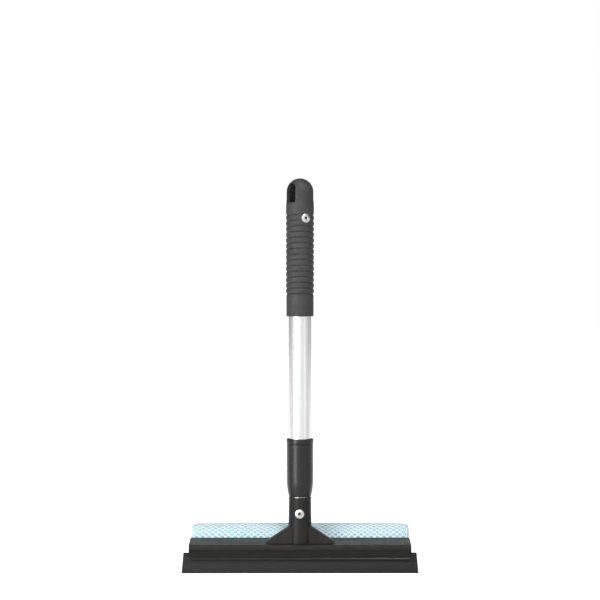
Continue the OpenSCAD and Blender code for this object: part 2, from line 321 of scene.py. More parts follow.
def moulded_plastic(name, colour, roughness, grain, depth, specular=0.4, dust=1.25):
    """Moulded plastic with an eroded grain, cloudy shade and uneven gloss."""
    material, shader = plain_finish(name, colour, roughness, specular=specular)
    links = material.node_tree.links
    clouds = object_noise(material, 95.0, 4.0)
    fine = object_noise(material, grain, 2.0)
    broad = object_noise(material, grain * 0.27, 2.0)
    links.new(tint(material, clouds, colour, 2 - dust, dust), shader.inputs["Base Color"])
    gloss = spread(material, broad, roughness - 0.06, roughness + 0.08)
    links.new(gloss, shader.inputs["Roughness"])
    bump_chain(material, shader, (fine, depth), (broad, depth * 1.6))
    return material


def satin_aluminium(name, colour, roughness, grain):
    """Drawn aluminium tube with a fine grain along its length."""
    material, shader = plain_finish(name, colour, roughness, metallic=1.0)
    links = material.node_tree.links
    streaks = object_noise(material, grain, 3.0, 0.6)
    cloud = object_noise(material, 60.0, 3.0)
    links.new(tint(material, cloud, colour, 0.96, 1.0), shader.inputs["Base Color"])
    gloss = spread(material, streaks, roughness - 0.07, roughness + 0.09)
    links.new(gloss, shader.inputs["Roughness"])
    bump_chain(material, shader, (streaks, 0.006 * MM))
    return material


def black_rubber(colour):
    material, shader = plain_finish("blade rubber", colour, 0.5, specular=0.3)
    links = material.node_tree.links
    smears = object_noise(material, (60.0, 700.0, 700.0), 4.0)
    fine = object_noise(material, 2600.0, 2.0)
    links.new(tint(material, smears, colour, 0.8, 1.6), shader.inputs["Base Color"])
    links.new(spread(material, smears, 0.42, 0.6), shader.inputs["Roughness"])
    bump_chain(material, shader, (fine, 0.012 * MM), (smears, 0.02 * MM))
    return material


def open_foam(colour):
    """Open-cell foam: pores darkened with painted shade between lighter cell walls."""
    material, shader = plain_finish("sponge foam", colour, 0.85, specular=0.2)
    links = material.node_tree.links
    place = add_node(material, "TexCoord", {})["Object"]
    inputs = {"Vector": place, "Scale": 1500.0, "Randomness": 1.0}
    cells = add_node(material, "TexVoronoi", inputs)["Distance"]
    broad = object_noise(material, 260.0, 4.0)
    # painted shade: the colour darkens towards each cell's middle, where the pores are
    pore_painted_shade = tint(material, cells, colour, 0.62, 1.12, 0.05, 0.6)
    clouds = spread(material, broad, 0.85, 1.08)
    links.new(scaled(material, pore_painted_shade, clouds), shader.inputs["Base Color"])
    shader.inputs["Subsurface Weight"].default_value = 0.15
    shader.inputs["Subsurface Radius"].default_value = (0.002, 0.003, 0.004)
    shader.inputs["Subsurface Scale"].default_value = 1.0
    bump_chain(material, shader, (cells, 0.25 * MM), (broad, 0.3 * MM))
    return material


def net_yarn(colour):
    """Textured polyester yarn with a fine fibre grain and a soft sheen."""
    material, shader = plain_finish("net yarn", colour, 0.55, specular=0.4)
    links = material.node_tree.links
    fibres = object_noise(material, 3800.0, 3.0)
    cloud = object_noise(material, 120.0, 3.0)
    links.new(tint(material, cloud, colour, 0.94, 1.03), shader.inputs["Base Color"])
    shader.inputs["Sheen Weight"].default_value = 0.25
    shader.inputs["Sheen Roughness"].default_value = 0.4
    bump_chain(material, shader, (fibres, 0.06 * MM))
    return material


# ------------------------------------------------------------------ the pieces


def rib_drop(height, sizes, low, high):
    """How far the grip's skin lies under its ribs' crests at a height, between two grooves."""
    if not low - 0.4 * sizes.groove_pitch <= height <= high + 0.4 * sizes.groove_pitch:
        return 0.0
    place = (height - low) / sizes.groove_pitch
    gap = abs(place - round(place)) * sizes.groove_pitch
    crown = (sizes.groove_pitch / 2 - gap) ** 2 / (2 * RIB_CROWN)
    groove = sizes.groove_depth * math.exp(-((gap / GROOVE_SPREAD) ** 2))
    if height < low or height > high:
        crown = 0.0
    return crown + groove


class SQUEEGEE_OT_grip(bpy.types.Operator):
    """Turn the ribbed grip, cut its hanging slot and soften the slot's lip"""

    bl_idname = "squeegee.grip"
    bl_label = "Grip"

    def execute(self, context):
        sizes, colours = context.scene.squeegee_sizes, context.scene.squeegee_colours
        crest = GRIP_HIGH.x
        wall = 2.8 * MM
        last_groove = FIRST_GROOVE + (GROOVES - 1) * sizes.groove_pitch
        end_radius = crest - 0.3 * MM
        foot_round = 0.8 * MM
        bore = TUBE_HIGH.x + PUSH_FIT
        bottom = GRIP_LOW.z
        plain_top = up(307)

        inner = arc((0, DOME_Z), DOME_RADIUS - wall, 90, 0, 10)
        inner += [(DOME_RADIUS - wall, TUBE_HIGH.z), (bore, TUBE_HIGH.z), (bore, bottom)]
        foot_centre = (end_radius - foot_round, bottom + foot_round)
        foot = [(end_radius - foot_round, bottom)] + arc(foot_centre, foot_round, -90, 0, 6)
        ribs = []
        offsets = (0.0, 0.18, 0.38, 0.62, 0.95, 1.4, 1.9)
        heights = sorted(
            {
                round((FIRST_GROOVE + i * sizes.groove_pitch + side * d * MM) / MM, 4) * MM
                for i in range(GROOVES)
                for d in offsets
                for side in (-1, 1)
            }
        )
        for height in heights:
            base = end_radius + (crest - end_radius) * min(1, max(0, (height - FIRST_GROOVE) / (2 * MM)))
            ribs.append((base - rib_drop(height, sizes, FIRST_GROOVE, last_groove), height))
        shoulder = []
        for i in range(9):
            share = i / 8
            eased = share * share * (3 - 2 * share)
            radius = crest - (crest - DOME_RADIUS) * eased
            shoulder.append((radius, SHOULDER_LOW + share * SHOULDER_HEIGHT))
        shoulder_top = shoulder[-1][1]
        side = [(DOME_RADIUS, shoulder_top + (DOME_Z - shoulder_top) * i / 8) for i in range(1, 8)]
        cap = arc((0, DOME_Z), DOME_RADIUS, 0, 90, 34)
        plain = [(crest, plain_top), (crest, up(309.0))]
        profile = inner + foot + ribs + plain + shoulder + side + cap
        piece = turn_profile("grip_sleeve", profile, 160)
        settle(piece)

        # the two upper grooves stop at a plain pad around the rivet
        pad = math.radians(24)
        fade = 0.12
        pad_low = last_groove - 1.55 * sizes.groove_pitch
        for vertex in piece.data.vertices:
            radius = math.hypot(vertex.co.x, vertex.co.y)
            if vertex.co.z < pad_low or vertex.co.z > plain_top or radius < bore + 0.5 * MM:
                continue
            turn = math.atan2(vertex.co.x, -vertex.co.y)
            away = abs((turn - sizes.grip_rivet_turn + math.pi) % math.tau - math.pi)
            share = min(1, max(0, (pad + fade - away) / fade))
            wanted = radius + (crest - radius) * share
            vertex.co.x *= wanted / radius
            vertex.co.y *= wanted / radius

        cut(piece, self.slot_cutter(sizes))
        cut(piece, self.seat_cutter(sizes))
        self.soften_lip(piece, sizes)
        face_outwards()
        settle(piece, math.radians(50))
        skin = moulded_plastic("grip skin", colours.grip, 0.56, 1500.0, 0.022 * MM, specular=0.3, dust=1.12)
        finish_piece(piece, "handle", skin, "grip_plastic", "grip")
        return {"FINISHED"}

    def slot_cutter(self, sizes):
        """Arched bar as wide as the slot, in short lengths so that its walls have a fine mesh."""
        half = sizes.slot_width / 2
        low, high = -sizes.slot_height / 2, sizes.slot_height / 2
        through = facing(sizes.slot_turn)
        across = Vector((-through.y, through.x, 0))
        spring = high - half
        outline = [(half - 2 * half * i / 20, low) for i in range(21)]
        outline += [(-half, low + (spring - low) * i / 22) for i in range(1, 22)]
        outline += arc((0, spring), half, 180, 0, 30)
        outline += [(half, spring - (spring - low) * i / 22) for i in range(1, 22)]
        reach = 14 * MM
        points = [across * w + Vector((0, 0, z)) - through * reach for w, z in outline]
        piece = draw_outline("slot_cutter", points)
        for _ in range(56):
            bpy.ops.mesh.extrude_region_move(TRANSFORM_OT_translate={"value": through * reach / 28})
        face_outwards()
        return settle(piece)

    def seat_cutter(self, sizes):
        """Round cutter for the rivet's flat seat."""
        deselect()
        outward = facing(sizes.grip_rivet_turn)
        depth = 6 * MM
        centre = outward * (GRIP_RIVET_SEAT + depth / 2) + Vector((0, 0, GRIP_RIVET_Z))
        bpy.ops.mesh.primitive_cylinder_add(vertices=64, radius=4.5 * MM, depth=depth, location=centre)
        piece = bpy.context.object
        piece.rotation_euler = outward.to_track_quat("Z", "Y").to_euler()
        return settle(piece)

    def soften_lip(self, piece, sizes):
        """Merges slivers along the slot's edge and smooths the edge into a soft lip."""
        half = sizes.slot_width / 2
        spring = sizes.slot_height / 2 - half
        through = facing(sizes.slot_turn)
        across = Vector((-through.y, through.x, 0))
        outer = GRIP_HIGH.x - 1.6 * MM

        def near_lip(vertex):
            co = vertex.co
            if co.length < 8 * MM or abs(co.dot(through)) < 7.6 * MM:
                return False
            w = co.dot(across)
            if co.z > spring:
                away = abs(math.hypot(w, co.z - spring) - half)
            elif co.z < -sizes.slot_height / 2 - 0.7 * MM:
                return False
            else:
                floor = abs(co.z + sizes.slot_height / 2)
                away = min(abs(abs(w) - half), floor if abs(w) < half + 0.7 * MM else 1.0)
            rise = max(0.0, co.z - DOME_Z)
            depth = outer - math.hypot(math.hypot(co.x, co.y), rise)
            return away < 0.62 * MM and depth < 0.5 * MM

        select_vertices(piece, near_lip)
        bpy.ops.mesh.remove_doubles(threshold=0.12 * MM)
        bpy.ops.mesh.vertices_smooth(factor=0.5, repeat=4)


def rivet_profile(seat, depth):
    """Profile of a set blind rivet, on its own axis: shank, flange with a rolled rim, centre hole."""
    head, hole, shank = RIVET_RADIUS, 1.25 * MM, 2.0 * MM
    rim = arc((head - 0.3 * MM, seat + 0.32 * MM), 0.3 * MM, -90, 60, 6)
    dome = []
    for i in range(1, 9):
        share = i / 8
        radius = head - 0.4 * MM - (head - 0.4 * MM - hole - 0.35 * MM) * share
        dome.append((radius, seat + (0.6 + 0.55 * math.sin(share * math.pi / 2)) * MM))
    lip = [(hole + 0.15 * MM, seat + 1.1 * MM), (hole, seat + 0.92 * MM)]
    return (
        [(hole, seat - depth), (shank, seat - depth), (shank, seat), (head - 0.3 * MM, seat)]
        + rim[1:]
        + dome
        + lip
        + [(hole, seat - depth)]
    )


class SQUEEGEE_OT_rivets(bpy.types.Operator):
    """Turn the two blind rivets and their broken stems"""

    bl_idname = "squeegee.rivets"
    bl_label = "Rivets"

    def execute(self, context):
        sizes = context.scene.squeegee_sizes
        bright = satin_aluminium("rivet aluminium", (0.74, 0.74, 0.75), 0.36, (900.0, 900.0, 900.0))
        steel = satin_aluminium("stem steel", (0.20, 0.19, 0.18), 0.5, (2500.0, 2500.0, 2500.0))
        places = (
            ("grip", sizes.grip_rivet_turn, GRIP_RIVET_Z, GRIP_RIVET_SEAT, "handle"),
            ("neck", sizes.neck_rivet_turn, NECK_RIVET_Z, NECK_RIVET_SEAT, "head"),
        )
        for name, turn, height, seat, body in places:
            outward = facing(turn)
            aim = Matrix.Translation((0, 0, height)) @ outward.to_track_quat("Z", "Y").to_matrix().to_4x4()
            rivet = turn_profile(f"{name}_rivet_head", rivet_profile(seat, 4.2 * MM), 64)
            stem_top = arc((0.75 * MM, seat - 0.45 * MM), 0.3 * MM, 0, 90, 3)
            stem_profile = [(0, seat - 4 * MM), (1.05 * MM, seat - 4 * MM)] + stem_top
            stem_profile += [(0.45 * MM, seat - 0.3 * MM), (0.2 * MM, seat + 0.1 * MM), (0, seat + 0.05 * MM)]
            stem = turn_profile(f"{name}_rivet_stem", stem_profile, 32)
            for piece in (rivet, stem):
                settle(piece)
                piece.matrix_world = aim
                settle(piece)
            finish_piece(rivet, body, bright, "rivet_aluminium", f"{name}_rivet")
            finish_piece(stem, body, steel, "mandrel_steel", f"{name}_rivet_mandrel")
        return {"FINISHED"}


class SQUEEGEE_OT_tubes(bpy.types.Operator):
    """Give the two tubes their satin aluminium"""

    bl_idname = "squeegee.tubes"
    bl_label = "Tubes"

    def execute(self, context):
        colour = context.scene.squeegee_colours.aluminium
        satin = satin_aluminium("tube aluminium", colour, 0.30, (2400.0, 2400.0, 14.0))
        for name in ("outer_tube", "inner_tube"):
            frame["nodes"][name].material_slots[0].material = satin
        return {"FINISHED"}


class SQUEEGEE_OT_collar(bpy.types.Operator):
    """Turn the collar at the lower end of the outer tube"""

    bl_idname = "squeegee.collar"
    bl_label = "Collar"

    def execute(self, context):
        colours = context.scene.squeegee_colours
        low, high, rim = COLLAR_LOW.z, COLLAR_HIGH.z, COLLAR_HIGH.x
        side = rim - 0.2 * MM
        foot = 9.45 * MM
        curve = 14 * MM
        bore = TUBE_HIGH.x + PUSH_FIT
        slide = INNER_HIGH.x + 0.4 * MM
        bush = 8.92 * MM
        bush_low, tube_low = up(66), TUBE_LOW.z
        profile = [(slide, low)] + arc((foot - 0.5 * MM, low + 0.5 * MM), 0.5 * MM, -90, -20, 4)
        for i in range(1, 15):
            share = i / 14
            profile.append((foot + (side - foot) * (1 - (1 - share) ** 2), low + curve * share))
        step = high - 4.2 * MM
        groove = side - 0.28 * MM
        profile += [(side, step - 0.55 * MM), (side - 0.12 * MM, step - 0.42 * MM), (groove, step - 0.3 * MM)]
        profile += [(groove, step - 0.05 * MM), (side - 0.05 * MM, step + 0.08 * MM)]
        profile += [(rim - 0.05 * MM, step + 0.22 * MM), (rim, step + 0.45 * MM)]
        profile += arc((rim - 0.6 * MM, high - 0.6 * MM), 0.6 * MM, 0, 90, 6)
        profile += [(bore + 0.25 * MM, high), (bore, high - 0.25 * MM), (bore, tube_low), (bush, tube_low)]
        profile += [(bush, bush_low), (slide, bush_low), (slide, low)]
        piece = turn_profile("collar_sleeve", profile, 128)
        settle(piece)
        black = moulded_plastic(
            "collar plastic", colours.collar, 0.32, 1900.0, 0.001 * MM, specular=0.56, dust=1.15
        )
        finish_piece(piece, "handle", black, "collar_plastic", "collar")
        return {"FINISHED"}


class SQUEEGEE_OT_lock(bpy.types.Operator):
    """Give the twist lock, the bush and the sponge's plate their finishes"""

    bl_idname = "squeegee.lock"
    bl_label = "Twist lock"

    def execute(self, context):
        colours = context.scene.squeegee_colours
        nylon = moulded_plastic("nylon", (0.68, 0.65, 0.56), 0.42, 1600.0, 0.008 * MM, dust=1.04)
        black = moulded_plastic("inner plastic", colours.collar, 0.48, 1600.0, 0.012 * MM)
        for name, finish in (
            ("guide_bush", nylon),
            ("cam_ring", nylon),
            ("lock_plug", black),
            ("sponge_plate", black),
        ):
            frame["nodes"][name].material_slots[0].material = finish
        return {"FINISHED"}


def rounded_copy(node, name, width, segments, wanted):
    """A copy of a frame node with merged faces, rounded along the sharp edges that are wanted."""
    deselect()
    source = frame["nodes"][node]
    piece = bpy.data.objects.new(name, source.data.copy())
    bpy.context.scene.collection.objects.link(piece)
    pick(piece)
    bpy.ops.object.mode_set(mode="EDIT")
    bpy.ops.mesh.select_all(action="SELECT")
    bpy.ops.mesh.remove_doubles(threshold=0.002 * MM)
    bpy.ops.mesh.customdata_custom_splitnormals_clear()
    bpy.ops.mesh.dissolve_limited(angle_limit=math.radians(0.8))
    bpy.ops.mesh.select_all(action="DESELECT")
    bpy.ops.mesh.select_mode(type="EDGE")
    bpy.ops.mesh.edges_select_sharp(sharpness=math.radians(14))
    bpy.ops.object.mode_set(mode="OBJECT")
    mesh = piece.data
    for face in mesh.polygons:
        face.select = False
    for edge in mesh.edges:
        a, b = (mesh.vertices[i].co for i in edge.vertices)
        if not wanted(a, b):
            edge.select = False
    bpy.ops.object.mode_set(mode="EDIT")
    bpy.ops.mesh.bevel(
        offset=width, offset_type="OFFSET", segments=segments, profile=0.5, clamp_overlap=False
    )
    bpy.ops.object.mode_set(mode="OBJECT")
    return piece


class SQUEEGEE_OT_head(bpy.types.Operator):
    """Round the head moulding's edges, join a rod into its lip and give it its plastic"""

    bl_idname = "squeegee.head"
    bl_label = "Head moulding"

    def execute(self, context):
        sizes, colours = context.scene.squeegee_sizes, context.scene.squeegee_colours

        def wanted(a, b):
            """Long edges that aren't in the jaw."""
            jaw = (a.y + b.y) / 2 < -6.5 * MM and (a.z + b.z) / 2 < up(12.5)
            return (a - b).length > 6 * MM and not jaw

        piece = rounded_copy("head_frame", "head_moulding", sizes.edge_round, 3, wanted)
        self.bead(piece)
        settle(piece, math.radians(40))
        black = moulded_plastic(
            "head plastic", colours.head, 0.46, 1300.0, 0.022 * MM, specular=0.3, dust=1.3
        )
        # glossier below the band, with painted shade in the recess and a painted highlight on the lip
        self.gloss_and_painted_light(black)
        finish_piece(piece, "head", black, "head_plastic", "head_frame")
        return {"FINISHED"}

    def bead(self, piece):
        """Joins a rod into the lip. It lies behind the lip's own round front and doesn't show."""
        deselect()
        spot = (0, -11.8 * MM, up(11.6))
        radius, length_along = 1.1 * MM, 184 * MM
        bpy.ops.mesh.primitive_cylinder_add(
            vertices=24, radius=radius, depth=length_along, location=spot, rotation=(0, math.pi / 2, 0)
        )
        bead = bpy.context.object
        apply_modifier(piece, "BOOLEAN", operation="UNION", object=bead, solver="EXACT")
        bpy.data.objects.remove(bead, do_unlink=True)

    def gloss_and_painted_light(self, material):
        """Below the band the plastic is glossier. Its colour is darkened in the recess as painted shade and
        lifted a little on the lip as a painted highlight.
        """
        nodes, links = material.node_tree.nodes, material.node_tree.links
        shader = nodes["Principled BSDF"]
        grained = shader.inputs["Roughness"].links[0].from_socket
        cloudy = shader.inputs["Base Color"].links[0].from_socket
        height = axes(material)["Z"]
        # below the band: lower roughness, and the colour darkened there as painted shade
        gloss_and_painted_shade = spread(material, height, 0.38, 1.0, up(18.6), up(19.2))
        # on the lip the colour is lifted as a painted highlight
        painted_lip_highlight = spread(material, height, 1.3, 0.3, up(12.7), up(13.2))
        level = calculate(material, "MAXIMUM", gloss_and_painted_shade, painted_lip_highlight)
        gloss = calculate(material, "MULTIPLY", grained, gloss_and_painted_shade)
        links.new(gloss, shader.inputs["Roughness"])
        # the colour is scaled by the painted shade in the recess and the painted highlight on the lip
        links.new(scaled(material, cloudy, level), shader.inputs["Base Color"])


class SQUEEGEE_OT_blade(bpy.types.Operator):
    """Round the rubber blade's edges and give it its finish"""

    bl_idname = "squeegee.blade"
    bl_label = "Blade"

    def execute(self, context):
        piece = rounded_copy("blade", "blade_strip", 0.15 * MM, 2, lambda a, b: (a - b).length > 1.2 * MM)
        settle(piece, math.radians(30))
        rubber = black_rubber(context.scene.squeegee_colours.rubber)
        finish_piece(piece, "head", rubber, "blade_rubber", "blade")
        return {"FINISHED"}


def block_outline(margin):
    """The padded block's section, as (y, z) points about 1 mm apart.

    It starts high on the front side and goes over the crest, down the back and round below.
    """
    front, back = NET_LOW.y + margin, NET_HIGH.y - margin
    low, high = NET_LOW.z + margin, NET_HIGH.z - margin
    top_round, low_round = PAD_TOP_ROUND - margin, PAD_LOW_ROUND - margin
    corners = (
        (front + top_round, high - top_round, top_round, 180, 90),
        (back - top_round, high - top_round, top_round, 90, 0),
        (back - low_round, low + low_round, low_round, 0, -90),
        (front + low_round, low + low_round, low_round, -90, -180),
    )
    rough = []
    for y, z, radius, start, end in corners:
        rough += arc((y, z), radius, start, end, 16)
    rough.append(rough[0])
    outline = []
    for (y0, z0), (y1, z1) in zip(rough, rough[1:]):
        steps = max(1, round(math.hypot(y1 - y0, z1 - z0) / MM))
        outline += [(y0 + (y1 - y0) * i / steps, z0 + (z1 - z0) * i / steps) for i in range(steps)]
    return outline


class Wrap:
    """The way round the block: a place and an outward direction for each distance along it."""

    def __init__(self):
        closed = block_outline(0)
        flange_low, flange_high = up(5.5), up(24.4)

        def off_start(i):
            y, z = closed[i]
            return abs(z - flange_high) + abs(y - NET_LOW.y)

        start = min(range(len(closed)), key=off_start)
        points = closed[start:] + closed[:start]
        last = max(i for i, (y, z) in enumerate(points) if y < NET_LOW.y + 3 * MM and z < flange_low)
        self.points = points[: last + 1]
        self.at = [0.0]
        for (y0, z0), (y1, z1) in zip(self.points, self.points[1:]):
            self.at.append(self.at[-1] + math.hypot(y1 - y0, z1 - z0))
        self.length = self.at[-1]
        self.tree = KDTree(len(self.points))
        for i, (y, z) in enumerate(self.points):
            self.tree.insert((0, y, z), i)
        self.tree.balance()

    def place(self, distance):
        i = min(max(bisect_right(self.at, distance) - 1, 0), len(self.points) - 2)
        share = (distance - self.at[i]) / (self.at[i + 1] - self.at[i])
        (y0, z0), (y1, z1) = self.points[i], self.points[i + 1]
        spot = Vector((0, y0 + (y1 - y0) * share, z0 + (z1 - z0) * share))
        before, after = self.points[max(i - 1, 0)], self.points[min(i + 2, len(self.points) - 1)]
        along = Vector((0, after[0] - before[0], after[1] - before[1])).normalized()
        return spot, Vector((0, -along.z, along.y))

    def distance(self, co):
        _, index, _ = self.tree.find((0, co.y, co.z))
        i = min(max(index, 1), len(self.points) - 2)
        (y0, z0), (y1, z1) = self.points[i - 1], self.points[i + 1]
        step = Vector((0, y1 - y0, z1 - z0))
        share = (Vector((0, co.y, co.z)) - Vector((0, y0, z0))).dot(step) / step.length_squared
        return self.at[i - 1] + (self.at[i + 1] - self.at[i - 1]) * min(max(share, 0), 1)


def swell(piece, pressure, cap, flat_side):
    """Swells a closed mesh by cloth under pressure, moving no point further than cap."""
    start = [vertex.co.copy() for vertex in piece.data.vertices]
    pick(piece)
    cloth = piece.modifiers.new("Cloth", "CLOTH")
    cloth.settings.quality = 6
    cloth.settings.mass = 0.2
    cloth.settings.tension_stiffness = 22
    cloth.settings.compression_stiffness = 22
    cloth.settings.shear_stiffness = 8
    cloth.settings.bending_stiffness = 3
    cloth.settings.use_pressure = True
    cloth.settings.uniform_pressure_force = pressure
    cloth.settings.effector_weights.gravity = 0
    cloth.collision_settings.use_collision = False
    scene = bpy.context.scene
    for number in range(1, 21):
        scene.frame_set(number)
    bpy.ops.object.modifier_apply(modifier=cloth.name)
    scene.frame_set(1)
    for vertex, old in zip(piece.data.vertices, start):
        move = vertex.co - old
        if move.length > cap:
            move *= cap / move.length
        vertex.co = old + move
        vertex.co.y = max(vertex.co.y, flat_side)


def cushioned(*counts):
    """Share by which foam stands out: 1 in the middle of a mesh, -0.5 under a yarn.

    counts are the place across the two families of yarns, in meshes, so a yarn is at each whole number.
    """
    yarn_reach = 0.17
    away = min(abs(count - round(count)) for count in counts)
    return 1 - math.exp(-((away / yarn_reach) ** 2)) * 1.5


class SQUEEGEE_OT_sponge(bpy.types.Operator):
    """Swell the foam pad and press the net's diamonds into it"""

    bl_idname = "squeegee.sponge"
    bl_label = "Sponge"

    def execute(self, context):
        sizes, colours = context.scene.squeegee_sizes, context.scene.squeegee_colours
        shrink = 1.9 * MM
        half = NET_HIGH.x + 0.1 * MM
        outline = block_outline(shrink)[::2]
        piece = draw_outline("sponge_pad", [(-half, y, z) for y, z in outline])
        bpy.ops.mesh.extrude_region_move(TRANSFORM_OT_translate={"value": (2 * half, 0, 0)})
        face_outwards()
        settle(piece)
        piece.data.remesh_voxel_size = 4.2 * MM
        pick(piece)
        bpy.ops.object.voxel_remesh()
        apply_modifier(piece, "SUBSURF", levels=1, render_levels=1)
        swell(piece, 4.0, 1.5 * MM, NET_LOW.y + 0.9 * MM)
        apply_modifier(piece, "SUBSURF", levels=1, render_levels=1)
        reach = max(vertex.co.x for vertex in piece.data.vertices)
        for vertex in piece.data.vertices:
            vertex.co.x *= half / reach
        self.quilt(piece, sizes)
        settle(piece, math.pi)
        foam = open_foam(colours.foam)
        finish_piece(piece, "head", foam, "foam", "sponge")
        return {"FINISHED"}

    def quilt(self, piece, sizes):
        """Lets the foam stand out a little through each mesh of the net."""
        wrap = Wrap()
        columns, rows = mesh_counts(sizes, wrap)
        width = 2 * NET_HIGH.x / columns
        height = wrap.length / rows
        out = 0.45 * MM
        moves = []
        for vertex in piece.data.vertices:
            co, normal = vertex.co, vertex.normal
            radial = 1 - abs(normal.x)
            if radial < 0.3 or co.y < NET_LOW.y + 1.2 * MM:
                moves.append(Vector())
                continue
            u = (co.x + NET_HIGH.x) / width
            v = wrap.distance(co) / height
            moves.append(normal * out * radial * (cushioned(u + v, u - v) - 0.2))
        for vertex, move in zip(piece.data.vertices, moves):
            vertex.co += move


def mesh_counts(sizes, wrap):
    """Whole numbers of net meshes along the block and round it."""
    return round(2 * NET_HIGH.x / sizes.mesh_width), round(wrap.length / sizes.mesh_height)


def diamond_sheet(name, size, counts, location, turn):
    """A flat sheet of diamonds: a grid whose faces are poked and whose own edges are dissolved."""
    deselect()
    columns, rows = counts
    bpy.ops.mesh.primitive_grid_add(x_subdivisions=columns, y_subdivisions=rows, size=1)
    piece = bpy.context.object
    piece.name = piece.data.name = name
    piece.scale = (size[0], size[1], 1)
    bpy.ops.object.transform_apply(location=False, rotation=False, scale=True)
    bpy.ops.object.mode_set(mode="EDIT")
    bpy.ops.mesh.select_all(action="SELECT")
    bpy.ops.mesh.select_mode(type="FACE")
    bpy.ops.mesh.poke()
    bpy.ops.mesh.select_mode(type="EDGE")
    bpy.ops.mesh.select_all(action="DESELECT")
    bpy.ops.object.mode_set(mode="OBJECT")
    mesh = piece.data
    half_width, half_height = size[0] / 2 - 1e-6, size[1] / 2 - 1e-6
    for edge in mesh.edges:
        a, b = (mesh.vertices[i].co for i in edge.vertices)
        middle = (a + b) / 2
        straight = abs(a.x - b.x) < 1e-6 or abs(a.y - b.y) < 1e-6
        edge.select = straight and abs(middle.x) < half_width and abs(middle.y) < half_height
    bpy.ops.object.mode_set(mode="EDIT")
    bpy.ops.mesh.dissolve_edges(use_verts=False)
    bpy.ops.object.mode_set(mode="OBJECT")
    piece.rotation_euler = turn
    piece.location = location
    bpy.ops.object.transform_apply(location=True, rotation=True, scale=True)
    return piece


def to_yarn(piece, thickness):
    """Turns a sheet's edges into round yarn with soft knots."""
    apply_modifier(
        piece,
        "WIREFRAME",
        thickness=thickness,
        offset=0.0,
        use_even_offset=False,
        use_boundary=True,
        use_replace=True,
        use_relative_offset=False,
    )
    apply_modifier(piece, "SUBSURF", levels=1, render_levels=1)
    settle(piece, math.pi)


def loop_cord(name, points, thickness):
    """A closed cord through points: a circle whose points are placed, swept as a round curve."""
    deselect()
    bpy.ops.mesh.primitive_circle_add(vertices=len(points), radius=0.02)
    piece = bpy.context.object
    piece.name = piece.data.name = name
    for vertex, point in zip(piece.data.vertices, points):
        vertex.co = point
    bpy.ops.object.convert(target="CURVE")
    piece = bpy.context.object
    piece.data.bevel_depth = thickness / 2
    piece.data.bevel_resolution = 1
    bpy.ops.object.convert(target="MESH")
    piece = bpy.context.object
    piece.name = piece.data.name = name
    bpy.ops.object.mode_set(mode="EDIT")
    face_outwards()
    return settle(piece, math.pi)


def land_on(tree, spot, outward, rise=0.0):
    """The place on the foam straight under a spot, or the nearest one if there is none."""
    hit, _, _, _ = tree.ray_cast(spot + outward * rise, -outward, 12 * MM)
    if hit is None:
        hit, _, _, _ = tree.find_nearest(spot)
    return hit


